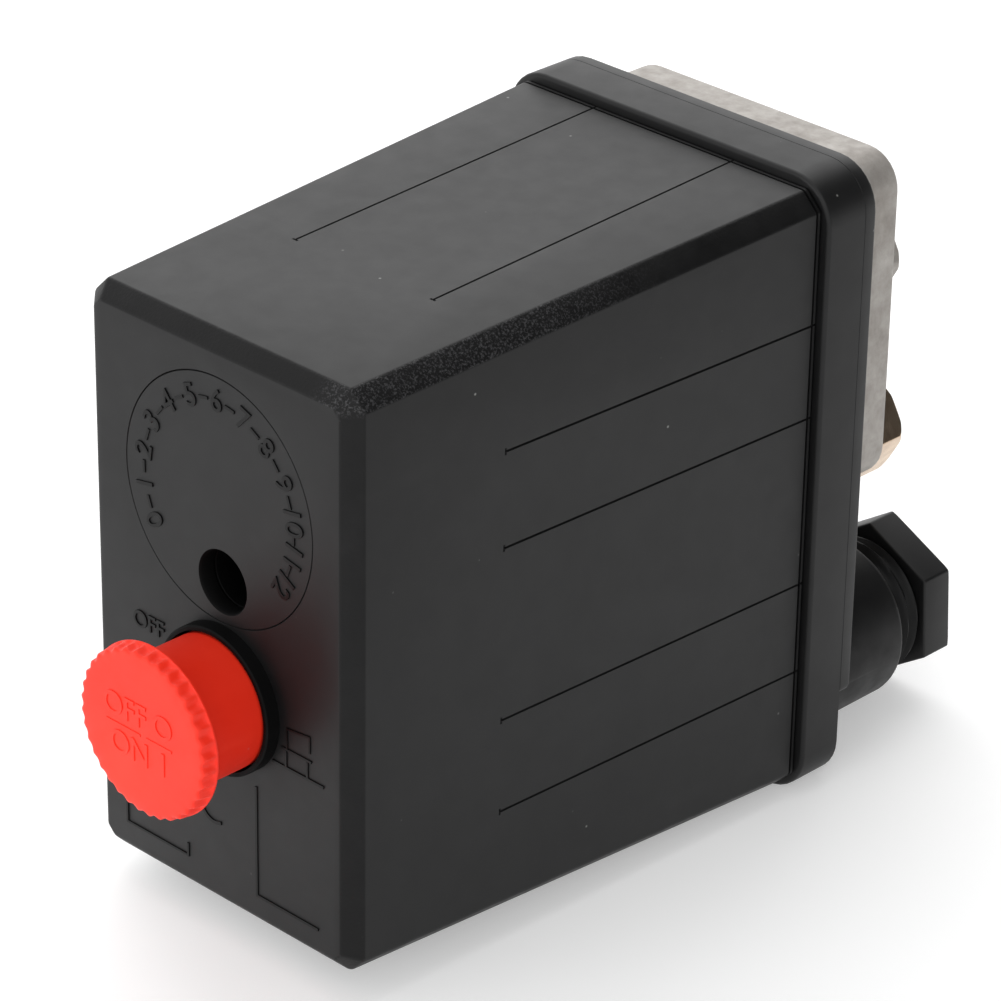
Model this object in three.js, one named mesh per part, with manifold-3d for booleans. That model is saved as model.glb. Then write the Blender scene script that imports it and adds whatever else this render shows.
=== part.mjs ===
// Push-pull pressure switch for a small air compressor, lying on its side.
// Local frame while building: X across, Y from the knob face (0) back to the pipe port,
// Z up from the middle of the cover. The last lines move the origin to the bottom centre.
import * as THREE from 'three';
import { mergeVertices } from 'three/addons/utils/BufferGeometryUtils.js';
import Module from 'manifold-3d';

const wasm = await Module();
wasm.setup();

// ---------------------------------------------------------------- driving dimensions, mm
const GAP = 0.3; // clearance between neighbouring pieces
const PAST = 1; // how far a cutter runs past the face it cuts, and joined solids run into each other

const COVER = {
  halfX: 22.55, halfZ: 38.15, // front section, before the front chamfer
  depth: 75.0, // knob face to the flange step
  draft: 0.0415, // outward growth of each side per mm of depth
  corner: 2.3, // 45 degree chamfer down the four long edges
  band: 2.0, // chamfer round the front face
  wall: 2.2,
};
const FLANGE = { halfX: 26.9, halfZ: 42.6, radius: 6.0, front: 75.6, back: 81.4, edge: 1.6 };
const LEDGE = { outset: 0.5, depth: 1.0 }; // thin step just in front of the flange
const GROOVE = { width: 0.5, depth: 0.45, start: 23.5, sideZ: [-24.05, -11.5, 11.5, 24.05],
  topX: [-11.5, 11.5] };
const DIAL = { x: 0.4, z: 17.5, radius: 15.8 }; // rating circle on the front face
const CORNER_MARK = { x: 6.2, top: -18.3, bottom: -33.6, end: 16.6 }; // L-shaped line low on the front face
const MARK = { line: 0.4, depth: 0.3 };

const KNOB = {
  x: 1.0, z: -8.1, face: -13.2, capRadius: 10.9, capDepth: 2.4, flutes: 36, fluteDepth: 0.45,
  stemRadius: 8.55, stemEnd: 9, rodRadius: 1.3, rodPoint: 0.6, rodTaper: 44.2, rodEnd: 44.9,
  play: 0.35, collar: 2.0, collarWall: 0.6, bossWall: 0.9, bossDepth: 2.8,
};
const CLIP = { grooveFront: 5.4, grooveBack: 6.9, grooveDepth: 0.9, front: 5.7, back: 6.6, outer: 9.35,
  inset: 0.6, opening: 3 };
const WELL = { x: 1.0, z: 7.05, radius: 3.95, wall: 1.1, end: 27, floor: 2, hole: 2.4 }; // to the cover screw
const COVER_SCREW = { head: 3.4, headDepth: 3, shank: 2.0, tip: 40, slotWidth: 1.0, slotDepth: 1.2 };

const TRAY = { front: 81.7, back: 83.7, rimFront: 78.2, rimWall: 1.6, rimPlay: 0.35, lipBottom: -27,
  footHalfX: 24.3, footBottom: -40.6, footTop: -20 };
const GLAND = { x: 13.25, z: -29.5, spoutRadius: 11.1, spoutEdge: 1.6, spoutEnd: 97.5, threadRadius: 8.3,
  threadDepth: 0.9, pitch: 1.8, threads: 3, threadEnd: 106.0, bore: 6.5, nutFront: 103.2, nutBack: 108.3,
  nutAcrossFlats: 19.2, nutTurn: Math.PI / 6 - 0.05, nutPlay: 0.35, cableHole: 5.2, sealFront: 98,
  sealBore: 4.2 };

const PLATE = { halfX: 22.4, front: 84.0, back: 93.6, z: 17.4, halfZ: 22.4, radius: 4.9, edge: 0.8 };
const PLATE_SCREW = { offset: 16.1, hole: 2.3, sink: 3.7, sinkDepth: 2.6, head: 3.3, shank: 1.95, tip: 76.5,
  slotWidth: 0.9, slotDepth: 1.0 };
const PORT = { acrossFlats: 21, end: 107.9, bore: 5.7, collar: 13.5, collarDepth: 1.5 };
const CHAMBER = { radius: 12, depth: 3.0, seat: 16.3, seatDepth: 1.5 };
const UNLOADER = { x: 8.5, z: -5.4, earRadius: 7.6, bore: 4.3, boreFront: 86.7, bodyFront: 87, bodyRadius: 4.0,
  bodyFlats: 11, hexEnd: 97.5, nose: 4.2, noseEnd: 103, noseBore: 93.5, tube: 3.0, nutRadius: 6.5,
  nutFlats: 12.1, nutBore: 4.5, end: 106.3 };
const PIN_WAY = 1.6; // radius of the hole the unloader pin slides in
const PIN = { radius: 1.2, front: 68.3, back: 91.5 };

const FRAME = { halfX: 20, sheet: 1.6, floor: 79.8, floorTop: 36.2, floorBottom: -10.5, bridge: 33,
  bridgeLow: 2, bridgeHigh: 25, tabHalfX: 6, tabBottom: -20.5 };
const SPRING = { z: PLATE.z, radius: 5.5, wire: 0.8, turns: 7, front: 42.6 };
const RANGE_SCREW = { flats: 7, headDepth: 3.6, shank: 2.9, tip: 58, hole: 3.25, slotWidth: 1.0,
  slotDepth: 0.9 };
const SPRING_NUT = { halfX: 8, low: -6, high: 6.5, depth: 3.3 };
const ROCKER = { y: 67, z: 8, halfX: 16, sheet: 2.0, armHalfX: 12, armTop: 28, armStep: 1.7, tailBottom: -12,
  barrel: 2.9, bore: 1.8, pin: 1.5, pinReach: 21.2 };
const PLUNGER = { disc: 8.5, discFront: 82.2, stem: 3.0, shoulder: 73, top: 71.0, tip: 1.2 };
const TRIP = { y: 46, z: 5, halfX: 17.6, barrel: 2.3, bore: 1.3, finger: 1.6, halfSheet: 0.8, end: -9.6,
  pin: 1.0, pinReach: 20.9 };
const BLOCK = { front: 50, back: 60, zTop: -12.3, zBottom: -34, halfX: 18, barrier: 6, barrierWall: 1.4,
  barrierX: [-17.3, -9.5, 0, 9.5, 17.3], legWidth: 3, legBottom: -19 };
const TERMINAL = { x: [-13.5, -5.2, 5.2, 13.5], width: 5.2, sheet: 1.4, bottom: -33, top: -8, screwZ: -27,
  screwHole: 1.9, button: 1.4, buttonRise: 0.45 };
const TERMINAL_SCREW = { head: 2.5, headDepth: 2.4, washer: 5.2, washerDepth: 0.9, shank: 1.55, tip: 56,
  slotWidth: 0.8, slotDepth: 0.9 };
const EARTH_SCREW = { z: -16, hole: 1.9, head: 3.2, headDepth: 2.2, washer: 4.0, washerDepth: 1.2, shank: 1.55,
  tip: 81.3, slotWidth: 0.9, slotDepth: 1.0 };
const CARRIER = { z: -9.5, halfZ: 2, halfX: 14, front: 52.7, barDepth: 4, postHalfX: 9, back: 65.7 };
const BRIDGE = { x: 9.35, halfX: 6.1, sheet: 1.0, halfZ: 1.5, button: 1.4, buttonX: 4.15, buttonRise: 0.6 };

// ---------------------------------------------------------------- solids
function solid(geometry) {
  const bare = geometry.clone();
  bare.deleteAttribute('normal');
  bare.deleteAttribute('uv');
  const merged = mergeVertices(bare, 1e-4);
  const corners = merged.index.array;
  const triVerts = [];
  for (let i = 0; i < corners.length; i += 3) {
    const [a, b, c] = [corners[i], corners[i + 1], corners[i + 2]];
    if (a !== b && b !== c && c !== a) triVerts.push(a, b, c);
  }
  return new wasm.Manifold(new wasm.Mesh({
    numProp: 3,
    vertProperties: new Float32Array(merged.attributes.position.array),
    triVerts: new Uint32Array(triVerts),
  }));
}

function toGeometry(shape) {
  const mesh = shape.getMesh();
  const geometry = new THREE.BufferGeometry();
  geometry.setAttribute('position', new THREE.BufferAttribute(new Float32Array(mesh.vertProperties), 3));
  geometry.setIndex(new THREE.BufferAttribute(new Uint32Array(mesh.triVerts), 1));
  geometry.computeVertexNormals();
  return geometry;
}

const join = (...shapes) => shapes.reduce((whole, shape) => whole.add(shape));
const cut = (shape, ...tools) => tools.reduce((left, tool) => left.subtract(tool), shape);

function box(x0, x1, y0, y1, z0, z1) {
  const geometry = new THREE.BoxGeometry(x1 - x0, y1 - y0, z1 - z0);
  return solid(geometry.translate((x0 + x1) / 2, (y0 + y1) / 2, (z0 + z1) / 2));
}

// Round bar or cone along Y, centred on (x, z).
function barY(x, z, radius, y0, y1, sides = 32, radiusFront = radius) {
  const geometry = new THREE.CylinderGeometry(radius, radiusFront, y1 - y0, sides);
  return solid(geometry.translate(x, (y0 + y1) / 2, z));
}

// Round bar along X, centred on (y, z).
function barX(y, z, radius, x0, x1, sides = 20) {
  const geometry = new THREE.CylinderGeometry(radius, radius, x1 - x0, sides).rotateZ(-Math.PI / 2);
  return solid(geometry.translate((x0 + x1) / 2, y, z));
}

const tubeY = (x, z, outer, inner, y0, y1, sides = 40) =>
  cut(barY(x, z, outer, y0, y1, sides), barY(x, z, inner, y0 - PAST, y1 + PAST, sides));

// Slotted screw on the Y axis; headFace is the slotted face and tip the far end of the shank.
function slottedScrew({ head, headDepth, shank, tip, slotWidth, slotDepth }, headFace, sides = 20) {
  const way = Math.sign(tip - headFace);
  const bar = (radius, from, to, count) => barY(0, 0, radius, Math.min(from, to), Math.max(from, to), count);
  const [slotA, slotB] = [headFace - way * PAST, headFace + way * slotDepth];
  const whole = join(
    bar(head, headFace, headFace + way * headDepth, sides),
    bar(shank, headFace + way * headDepth / 2, tip, 12),
  );
  return cut(whole, box(-head - PAST, head + PAST, Math.min(slotA, slotB), Math.max(slotA, slotB),
    -slotWidth / 2, slotWidth / 2));
}

// Hexagonal bar along Y; turn 0 puts corners at +-X.
function hexY(x, z, acrossFlats, y0, y1, turn = 0) {
  const radius = acrossFlats / Math.sqrt(3);
  const geometry = new THREE.CylinderGeometry(radius, radius, y1 - y0, 6);
  geometry.rotateY(Math.PI / 6 + turn);
  return solid(geometry.translate(x, (y0 + y1) / 2, z));
}

// Flat outline in (y, z) made solid from x0 to x1.
function prismX(points, x0, x1) {
  const shape = new THREE.Shape(points.map(([y, z]) => new THREE.Vector2(y, z)));
  const geometry = new THREE.ExtrudeGeometry(shape, { depth: x1 - x0, bevelEnabled: false });
  const turn = new THREE.Matrix4().makeBasis(
    new THREE.Vector3(0, 1, 0), new THREE.Vector3(0, 0, 1), new THREE.Vector3(1, 0, 0));
  return solid(geometry.applyMatrix4(turn).translate(x0, 0, 0));
}

// Closed skin through convex outlines of equal length, from the front (low y) to the back.
function loft(sections) {
  const count = sections[0].outline.length;
  const positions = sections.flatMap(({ y, outline }) => outline.flatMap(([x, z]) => [x, y, z]));
  const index = [];
  const last = (sections.length - 1) * count;
  for (let i = 1; i < count - 1; i += 1) {
    index.push(0, i, i + 1);
    index.push(last, last + i + 1, last + i);
  }
  for (let ring = 0; ring < last; ring += count) {
    for (let i = 0; i < count; i += 1) {
      const next = (i + 1) % count;
      index.push(ring + i, ring + count + i, ring + count + next);
      index.push(ring + i, ring + count + next, ring + next);
    }
  }
  const geometry = new THREE.BufferGeometry();
  geometry.setAttribute('position', new THREE.BufferAttribute(new Float32Array(positions), 3));
  geometry.setIndex(index);
  return solid(geometry);
}

// Rectangle with 45 degree corners, counter-clockwise seen from the front.
function chamferedOutline(halfX, halfZ, corner) {
  const quarter = [[halfX, halfZ - corner], [halfX - corner, halfZ]];
  return [
    ...quarter,
    ...quarter.map(([x, z]) => [-x, z]).reverse(),
    ...quarter.map(([x, z]) => [-x, -z]),
    ...quarter.map(([x, z]) => [x, -z]).reverse(),
  ];
}

function roundedOutline(halfX, halfZ, radius, steps = 6, centreZ = 0) {
  const points = [];
  const corners = [[1, 1, 0], [-1, 1, 1], [-1, -1, 2], [1, -1, 3]];
  for (const [sx, sz, quarter] of corners) {
    for (let i = 0; i <= steps; i += 1) {
      const angle = (quarter + i / steps) * Math.PI / 2;
      points.push([
        sx * (halfX - radius) + radius * Math.cos(angle),
        centreZ + sz * (halfZ - radius) + radius * Math.sin(angle),
      ]);
    }
  }
  return points;
}

// Coil spring along Y as a swept round wire.
function coil(radius, wire, y0, y1, turns) {
  class Helix extends THREE.Curve {
    getPoint(t, target = new THREE.Vector3()) {
      const angle = t * turns * 2 * Math.PI;
      return target.set(radius * Math.cos(angle), y0 + t * (y1 - y0), radius * Math.sin(angle));
    }
  }
  const section = new THREE.Shape().absarc(0, 0, wire, 0, 2 * Math.PI);
  const geometry = new THREE.ExtrudeGeometry(section,
    { steps: turns * 14, curveSegments: 3, bevelEnabled: false, extrudePath: new Helix() });
  return solid(geometry);
}

// ---------------------------------------------------------------- looks
const look = (color, roughness, metalness) => ({ color, roughness, metalness });
const BLACK_PLASTIC = look(0x2b2b2d, 0.55, 0);
const RED_PLASTIC = look(0xe0281c, 0.4, 0);
const CAST_METAL = look(0xa8a39d, 0.5, 0.8);
const STEEL = look(0xc4c6c8, 0.35, 0.9);
const BRASS = look(0xc9a25a, 0.35, 0.9);
const RUBBER = look(0x1b1b1b, 0.85, 0);
const BAKELITE = look(0x4a3226, 0.6, 0);

const assembly = new THREE.Group();

function add(parent, name, shape, { color, roughness, metalness }, [x, y, z] = [0, 0, 0]) {
  const material = new THREE.MeshStandardMaterial({ color, roughness, metalness });
  const mesh = new THREE.Mesh(toGeometry(shape), material);
  mesh.name = name;
  mesh.position.set(x, y, z);
  parent.add(mesh);
}

// ---------------------------------------------------------------- cover
const coverHalfX = (y) => COVER.halfX + COVER.draft * y;
const coverHalfZ = (y) => COVER.halfZ + COVER.draft * y;
const bodyBack = FLANGE.front + 2; // the body and the ledge run on into the flange
const coverSection = (y, inset = 0) => ({
  y,
  outline: chamferedOutline(coverHalfX(y) - inset, coverHalfZ(y) - inset,
    COVER.corner - inset * (2 - Math.SQRT2)),
});

function coverOuter() {
  const front = { ...coverSection(COVER.band, COVER.band), y: 0 };
  const body = loft([front, coverSection(COVER.band), coverSection(bodyBack)]);
  const ledgeOutline = chamferedOutline(coverHalfX(COVER.depth) + LEDGE.outset,
    coverHalfZ(COVER.depth) + LEDGE.outset, COVER.corner + 2 * LEDGE.outset);
  const ledge = loft([COVER.depth - LEDGE.depth, bodyBack].map((y) => ({ y, outline: ledgeOutline })));
  const flangeRing = (y, inset) =>
    ({ y, outline: roundedOutline(FLANGE.halfX - inset, FLANGE.halfZ - inset, FLANGE.radius - inset) });
  const flange = loft([
    flangeRing(FLANGE.front, FLANGE.edge),
    flangeRing(FLANGE.front + 0.3 * FLANGE.edge, 0.3 * FLANGE.edge),
    flangeRing(FLANGE.front + FLANGE.edge, 0),
    flangeRing(FLANGE.back, 0),
  ]);
  return join(body, ledge, flange);
}

function coverCavity() {
  const inner = (y) => ({
    y,
    outline: chamferedOutline(coverHalfX(y) - COVER.wall, coverHalfZ(y) - COVER.wall, COVER.corner),
  });
  return loft([inner(COVER.wall), inner(FLANGE.back + PAST)]);
}

// Shallow lines down the sides and the top and bottom, following the draft.
function coverGrooves() {
  const length = COVER.depth - GROOVE.start;
  const middle = (COVER.depth + GROOVE.start) / 2;
  const lean = Math.atan(COVER.draft);
  const grooves = [];
  for (const side of [-1, 1]) {
    for (const z of GROOVE.sideZ) {
      const line = new THREE.BoxGeometry(2 * GROOVE.depth, length, GROOVE.width).rotateZ(-side * lean);
      grooves.push(solid(line.translate(side * coverHalfX(middle), middle, z)));
    }
    for (const x of GROOVE.topX) {
      const line = new THREE.BoxGeometry(GROOVE.width, length, 2 * GROOVE.depth).rotateX(side * lean);
      grooves.push(solid(line.translate(x, middle, side * coverHalfZ(middle))));
    }
  }
  return grooves;
}

// Plain marks sunk into the front face: the rating circle and a corner line.
function faceMarks() {
  const { x, top, bottom, end } = CORNER_MARK;
  const circle = tubeY(DIAL.x, DIAL.z, DIAL.radius + MARK.line / 2, DIAL.radius - MARK.line / 2,
    -PAST, MARK.depth, 48);
  const upright = box(x, x + MARK.line, -PAST, MARK.depth, bottom, top);
  const level = box(x, end, -PAST, MARK.depth, bottom, bottom + MARK.line);
  return [circle, join(upright, level)];
}

function coverShell() {
  const knobHole = KNOB.stemRadius + KNOB.play;
  const inside = COVER.wall - PAST;
  const withBosses = join(
    cut(coverOuter(), coverCavity()),
    barY(KNOB.x, KNOB.z, knobHole + KNOB.bossWall, inside, COVER.wall + KNOB.bossDepth, 36),
    barY(KNOB.x, KNOB.z, knobHole + KNOB.collarWall, -KNOB.collar, inside, 36),
  );
  return cut(
    withBosses,
    barY(WELL.x, WELL.z, WELL.radius, -PAST, COVER.wall + PAST, 28),
    barY(KNOB.x, KNOB.z, knobHole, -KNOB.collar - PAST, COVER.wall + KNOB.bossDepth + PAST, 36),
    ...coverGrooves(),
    ...faceMarks(),
  );
}

// Tube behind the hole in the front face; the cover screw bears on its floor.
function screwSleeve() {
  const front = COVER.wall + GAP;
  return cut(
    barY(0, 0, WELL.radius + WELL.wall, front, WELL.end, 28),
    barY(0, 0, WELL.radius, front - PAST, WELL.end - WELL.floor, 28),
    barY(0, 0, WELL.hole, front, WELL.end + PAST, 16),
  );
}

const coverScrew = () =>
  slottedScrew(COVER_SCREW, WELL.end - WELL.floor - GAP - COVER_SCREW.headDepth, 24);

// ---------------------------------------------------------------- knob
function flutedDisc(radius, depth, y0) {
  const ring = (y, reach) => {
    const outline = [];
    for (let i = 0; i < 2 * KNOB.flutes; i += 1) {
      const angle = i * Math.PI / KNOB.flutes;
      const r = i % 2 ? reach - KNOB.fluteDepth : reach;
      outline.push([r * Math.cos(angle), r * Math.sin(angle)]);
    }
    return { y, outline };
  };
  const edge = 0.3; // small bevel at the face
  return loft([ring(y0, radius - edge / 2), ring(y0 + edge, radius), ring(y0 + depth, radius)]);
}

function knobBody() {
  const cap = flutedDisc(KNOB.capRadius, KNOB.capDepth, KNOB.face);
  const stem = barY(0, 0, KNOB.stemRadius, KNOB.face + KNOB.capDepth - PAST, KNOB.stemEnd, 48);
  const clipGroove = tubeY(0, 0, KNOB.stemRadius + PAST, KNOB.stemRadius - CLIP.grooveDepth,
    CLIP.grooveFront, CLIP.grooveBack, 36);
  const rod = join(
    barY(0, 0, KNOB.rodRadius, KNOB.stemEnd - PAST, KNOB.rodTaper, 16),
    barY(0, 0, KNOB.rodPoint, KNOB.rodTaper, KNOB.rodEnd, 16, KNOB.rodRadius),
  );
  return join(cut(join(cap, stem), clipGroove), rod);
}

// Snap ring in the knob's groove that stops it being pulled out of the cover.
function knobClip() {
  const ring = tubeY(0, 0, CLIP.outer, KNOB.stemRadius - CLIP.inset, CLIP.front, CLIP.back, 36);
  return cut(ring, box(-CLIP.opening / 2, CLIP.opening / 2, CLIP.front - PAST, CLIP.back + PAST,
    -CLIP.outer - PAST, 0));
}

// ---------------------------------------------------------------- base tray and glands
function glandSpout(x) {
  const { z, spoutRadius, spoutEdge, spoutEnd, threadRadius, threadDepth, pitch, threadEnd } = GLAND;
  const root = threadRadius - threadDepth;
  const profile = [[0, TRAY.front], [spoutRadius, TRAY.front], [spoutRadius, spoutEnd - spoutEdge],
    [spoutRadius - 0.3 * spoutEdge, spoutEnd - 0.3 * spoutEdge], [spoutRadius - spoutEdge, spoutEnd],
    [root, spoutEnd]];
  for (let i = 0; i < GLAND.threads; i += 1) {
    const y = spoutEnd + pitch * (i + 0.5);
    profile.push([root, y - 0.4 * pitch], [threadRadius, y], [root, y + 0.4 * pitch]);
  }
  profile.push([root, threadEnd], [0, threadEnd]);
  const points = profile.map(([radius, y]) => new THREE.Vector2(radius, y));
  return solid(new THREE.LatheGeometry(points, 36).translate(x, 0, z));
}

// Wall that stands up from the tray inside the cover.
function trayRim() {
  const ring = (y, inset) => {
    const step = COVER.wall + TRAY.rimPlay + inset;
    return { y, outline: chamferedOutline(coverHalfX(TRAY.rimFront) - step,
      coverHalfZ(TRAY.rimFront) - step, COVER.corner) };
  };
  return cut(
    loft([ring(TRAY.rimFront, 0), ring(TRAY.front + PAST, 0)]),
    loft([ring(TRAY.rimFront - PAST, TRAY.rimWall), ring(TRAY.front, TRAY.rimWall)]),
  );
}

function baseHousing() {
  const lipHalfZ = (FLANGE.halfZ - TRAY.lipBottom) / 2;
  const lipOutline = roundedOutline(FLANGE.halfX, lipHalfZ, FLANGE.radius, 6, FLANGE.halfZ - lipHalfZ);
  const lip = loft([TRAY.front, TRAY.back].map((y) => ({ y, outline: lipOutline })));
  const foot = box(-TRAY.footHalfX, TRAY.footHalfX, TRAY.front, TRAY.back, TRAY.footBottom, TRAY.footTop);
  const [near, far] = [TRAY.front - PAST, TRAY.back + PAST];
  return cut(
    join(lip, foot, trayRim(), glandSpout(-GLAND.x), glandSpout(GLAND.x)),
    ...[-GLAND.x, GLAND.x].map((x) => barY(x, GLAND.z, GLAND.bore, near, GLAND.threadEnd + PAST, 32)),
    ...platePlaces().map(([x, z]) => barY(x, z, PLATE_SCREW.hole, near, far, 12)),
    barY(0, PLATE.z, PLUNGER.disc + 0.8, near, far, 32),
    barY(UNLOADER.x, UNLOADER.z, PIN_WAY, near, far, 12),
  );
}

function glandNut() {
  const { nutFront, nutBack, nutAcrossFlats, nutTurn, nutPlay, threadRadius, threadEnd, cableHole } = GLAND;
  return cut(
    hexY(0, 0, nutAcrossFlats, nutFront, nutBack, nutTurn),
    barY(0, 0, threadRadius + nutPlay, nutFront - PAST, threadEnd + GAP, 32),
    barY(0, 0, cableHole, nutFront, nutBack + PAST, 28),
  );
}

const glandSeal = () =>
  tubeY(0, 0, GLAND.bore - GAP, GLAND.sealBore, GLAND.sealFront, GLAND.threadEnd - GAP, 28);

// ---------------------------------------------------------------- port plate
const platePlaces = () => [-1, 1].flatMap((sx) => [-1, 1].map((sz) =>
  [sx * PLATE_SCREW.offset, PLATE.z + sz * PLATE_SCREW.offset]));

function portPlate() {
  const { front, back } = PLATE;
  const outline = (inset) =>
    roundedOutline(PLATE.halfX - inset, PLATE.halfZ - inset, PLATE.radius - inset, 5, PLATE.z);
  const slab = loft([
    { y: front, outline: outline(0) },
    { y: back - PLATE.edge, outline: outline(0) },
    { y: back, outline: outline(PLATE.edge) },
  ]);
  const ear = barY(UNLOADER.x, UNLOADER.z, UNLOADER.earRadius, front, back, 28);
  const port = hexY(0, PLATE.z, PORT.acrossFlats, back - PAST, PORT.end);
  const collar = barY(0, PLATE.z, PORT.collar, back - PAST, back + PORT.collarDepth, 32);
  const chamberFloor = front + CHAMBER.seatDepth + CHAMBER.depth;
  return cut(
    join(slab, ear, port, collar),
    ...platePlaces().flatMap(([x, z]) => [
      barY(x, z, PLATE_SCREW.hole, front - PAST, back + PAST, 12),
      barY(x, z, PLATE_SCREW.sink, back - PLATE_SCREW.sinkDepth, back + PAST, 16),
    ]),
    barY(0, PLATE.z, CHAMBER.seat, front - PAST, front + CHAMBER.seatDepth, 32),
    barY(0, PLATE.z, CHAMBER.radius, front, chamberFloor, 32),
    barY(0, PLATE.z, PORT.bore, front, PORT.end + PAST, 28),
    barY(UNLOADER.x, UNLOADER.z, PIN_WAY, front - PAST, UNLOADER.boreFront + PAST, 12),
    barY(UNLOADER.x, UNLOADER.z, UNLOADER.bore, UNLOADER.boreFront, back + PAST, 24),
  );
}

// Pan head screw coming up from the port side into the frame.
const plateScrew = () =>
  slottedScrew({ ...PLATE_SCREW, headDepth: PLATE_SCREW.sinkDepth }, PLATE.back + GAP, 16);

const diaphragm = () =>
  barY(0, 0, CHAMBER.seat - GAP, PLATE.front, PLATE.front + CHAMBER.seatDepth - GAP, 32);

function plunger() {
  const { disc, discFront, stem, shoulder, top, tip } = PLUNGER;
  return join(
    barY(0, 0, disc, discFront, PLATE.front - GAP, 28),
    barY(0, 0, stem, shoulder, discFront + GAP, 20),
    barY(0, 0, stem, top, shoulder, 20, tip),
  );
}

// ---------------------------------------------------------------- unloader valve
function unloaderBody() {
  const { bodyFront, bodyRadius, bodyFlats, hexEnd, nose, noseEnd, noseBore, tube } = UNLOADER;
  const body = join(
    barY(0, 0, bodyRadius, bodyFront, PLATE.back + PAST, 24),
    hexY(0, 0, bodyFlats, PLATE.back + GAP, hexEnd, Math.PI / 6),
    barY(0, 0, nose, hexEnd - GAP, noseEnd, 24),
  );
  return cut(body, barY(0, 0, PIN_WAY, bodyFront - PAST, noseBore + PAST, 16),
    barY(0, 0, tube, noseBore, noseEnd + PAST, 24));
}

function unloaderNut() {
  const { nutRadius, nutFlats, nutBore, hexEnd, noseEnd, tube, end } = UNLOADER;
  const front = hexEnd + GAP;
  const round = barY(0, 0, nutRadius, front - PAST, end + PAST, 36);
  return cut(
    hexY(0, 0, nutFlats, front, end).intersect(round),
    barY(0, 0, nutBore, front - PAST, noseEnd + GAP, 24),
    barY(0, 0, tube, noseEnd, end + PAST, 24),
  );
}

const unloaderPin = () => barY(0, 0, PIN.radius, PIN.front, PIN.back, 12);

// ---------------------------------------------------------------- steel frame
function frameBracket() {
  const { halfX, sheet, floor, floorTop, floorBottom, tabHalfX, tabBottom } = FRAME;
  const { bridge, bridgeLow, bridgeHigh } = FRAME;
  const base = join(
    box(-halfX, halfX, floor, floor + sheet, floorBottom, floorTop),
    box(-tabHalfX, tabHalfX, floor, floor + sheet, tabBottom, floorBottom + PAST),
  );
  const cheek = [[bridge, bridgeLow], [bridge, bridgeHigh], [58, bridgeHigh], [64, 34],
    [floor + PAST, 34], [floor + PAST, -6], [64, -6], [56, bridgeLow]];
  const top = box(-halfX, halfX, bridge, bridge + sheet, bridgeLow, bridgeHigh);
  const cheeks = [-halfX, halfX - sheet].map((x) => prismX(cheek, x, x + sheet));
  const throughFloor = (x, z, radius, sides) => barY(x, z, radius, floor - PAST, floor + sheet + PAST, sides);
  const throughBridge = (x, z, radius) => barY(x, z, radius, bridge - PAST, bridge + sheet + PAST, 16);
  return cut(
    join(base, top, ...cheeks),
    throughFloor(0, PLATE.z, PLUNGER.disc + 0.7, 28),
    throughFloor(UNLOADER.x, UNLOADER.z, PIN_WAY, 12),
    throughFloor(0, EARTH_SCREW.z, EARTH_SCREW.hole, 12),
    ...platePlaces().map(([x, z]) => throughFloor(x, z, PLATE_SCREW.hole, 12)),
    throughBridge(WELL.x, WELL.z, WELL.hole),
    throughBridge(0, SPRING.z, RANGE_SCREW.hole),
    barX(ROCKER.y, ROCKER.z, ROCKER.bore, -halfX - PAST, halfX + PAST, 16),
    barX(TRIP.y, TRIP.z, TRIP.bore, -halfX - PAST, halfX + PAST, 16),
  );
}

// Clinch nut under the bridge for the cover screw.
const coverNut = () => {
  const front = FRAME.bridge + FRAME.sheet + GAP;
  return cut(hexY(0, 0, 7, front, 41), barY(0, 0, COVER_SCREW.shank + GAP, front - PAST, 41 + PAST, 16));
};

const pin = (radius, reach) => barX(0, 0, radius, -reach, reach, 16);

// ---------------------------------------------------------------- spring, nut and range screw
function rangeScrew() {
  const { flats, headDepth, shank, tip, slotWidth, slotDepth } = RANGE_SCREW;
  const seat = FRAME.bridge - GAP;
  const head = hexY(0, 0, flats, seat - headDepth, seat);
  const slot = box(-flats, flats, seat - headDepth - PAST, seat - headDepth + slotDepth,
    -slotWidth / 2, slotWidth / 2);
  return cut(join(head, barY(0, 0, shank, seat - PAST, tip, 20)), slot);
}

function springNut() {
  const back = SPRING.front - SPRING.wire - GAP;
  const { halfX, low, high, depth } = SPRING_NUT;
  return cut(box(-halfX, halfX, back - depth, back, low, high),
    barY(0, 0, RANGE_SCREW.hole, back - depth - PAST, back + PAST, 20));
}

const rangeSpring = () => coil(SPRING.radius, SPRING.wire, SPRING.front,
  ROCKER.y + ROCKER.armStep - SPRING.wire - GAP, SPRING.turns);

// ---------------------------------------------------------------- rocker, trip lever, contacts
function rocker() {
  const { y, z, halfX, sheet, armHalfX, armTop, armStep, tailBottom, barrel, bore } = ROCKER;
  const arm = box(-armHalfX, armHalfX, y + armStep, y + armStep + sheet, z, armTop);
  const tail = box(-halfX, halfX, y - sheet / 2, y + sheet / 2, tailBottom, z);
  return cut(join(arm, tail, barX(y, z, barrel, -halfX, halfX, 24)),
    barX(y, z, bore, -halfX - PAST, halfX + PAST, 20));
}

function tripLever() {
  const { y, z, halfX, barrel, bore, finger, halfSheet, end } = TRIP;
  const arm = box(-finger, finger, y - halfSheet, y + halfSheet, end, z);
  return cut(join(barX(y, z, barrel, -halfX, halfX, 20), arm),
    barX(y, z, bore, -halfX - PAST, halfX + PAST, 16));
}

function contactCarrier() {
  const { halfZ, halfX, front, barDepth, postHalfX, back } = CARRIER;
  const bar = box(-halfX, halfX, front, front + barDepth, -halfZ, halfZ);
  return join(bar, box(-postHalfX, postHalfX, front + barDepth - PAST, back, -halfZ, halfZ));
}

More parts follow.
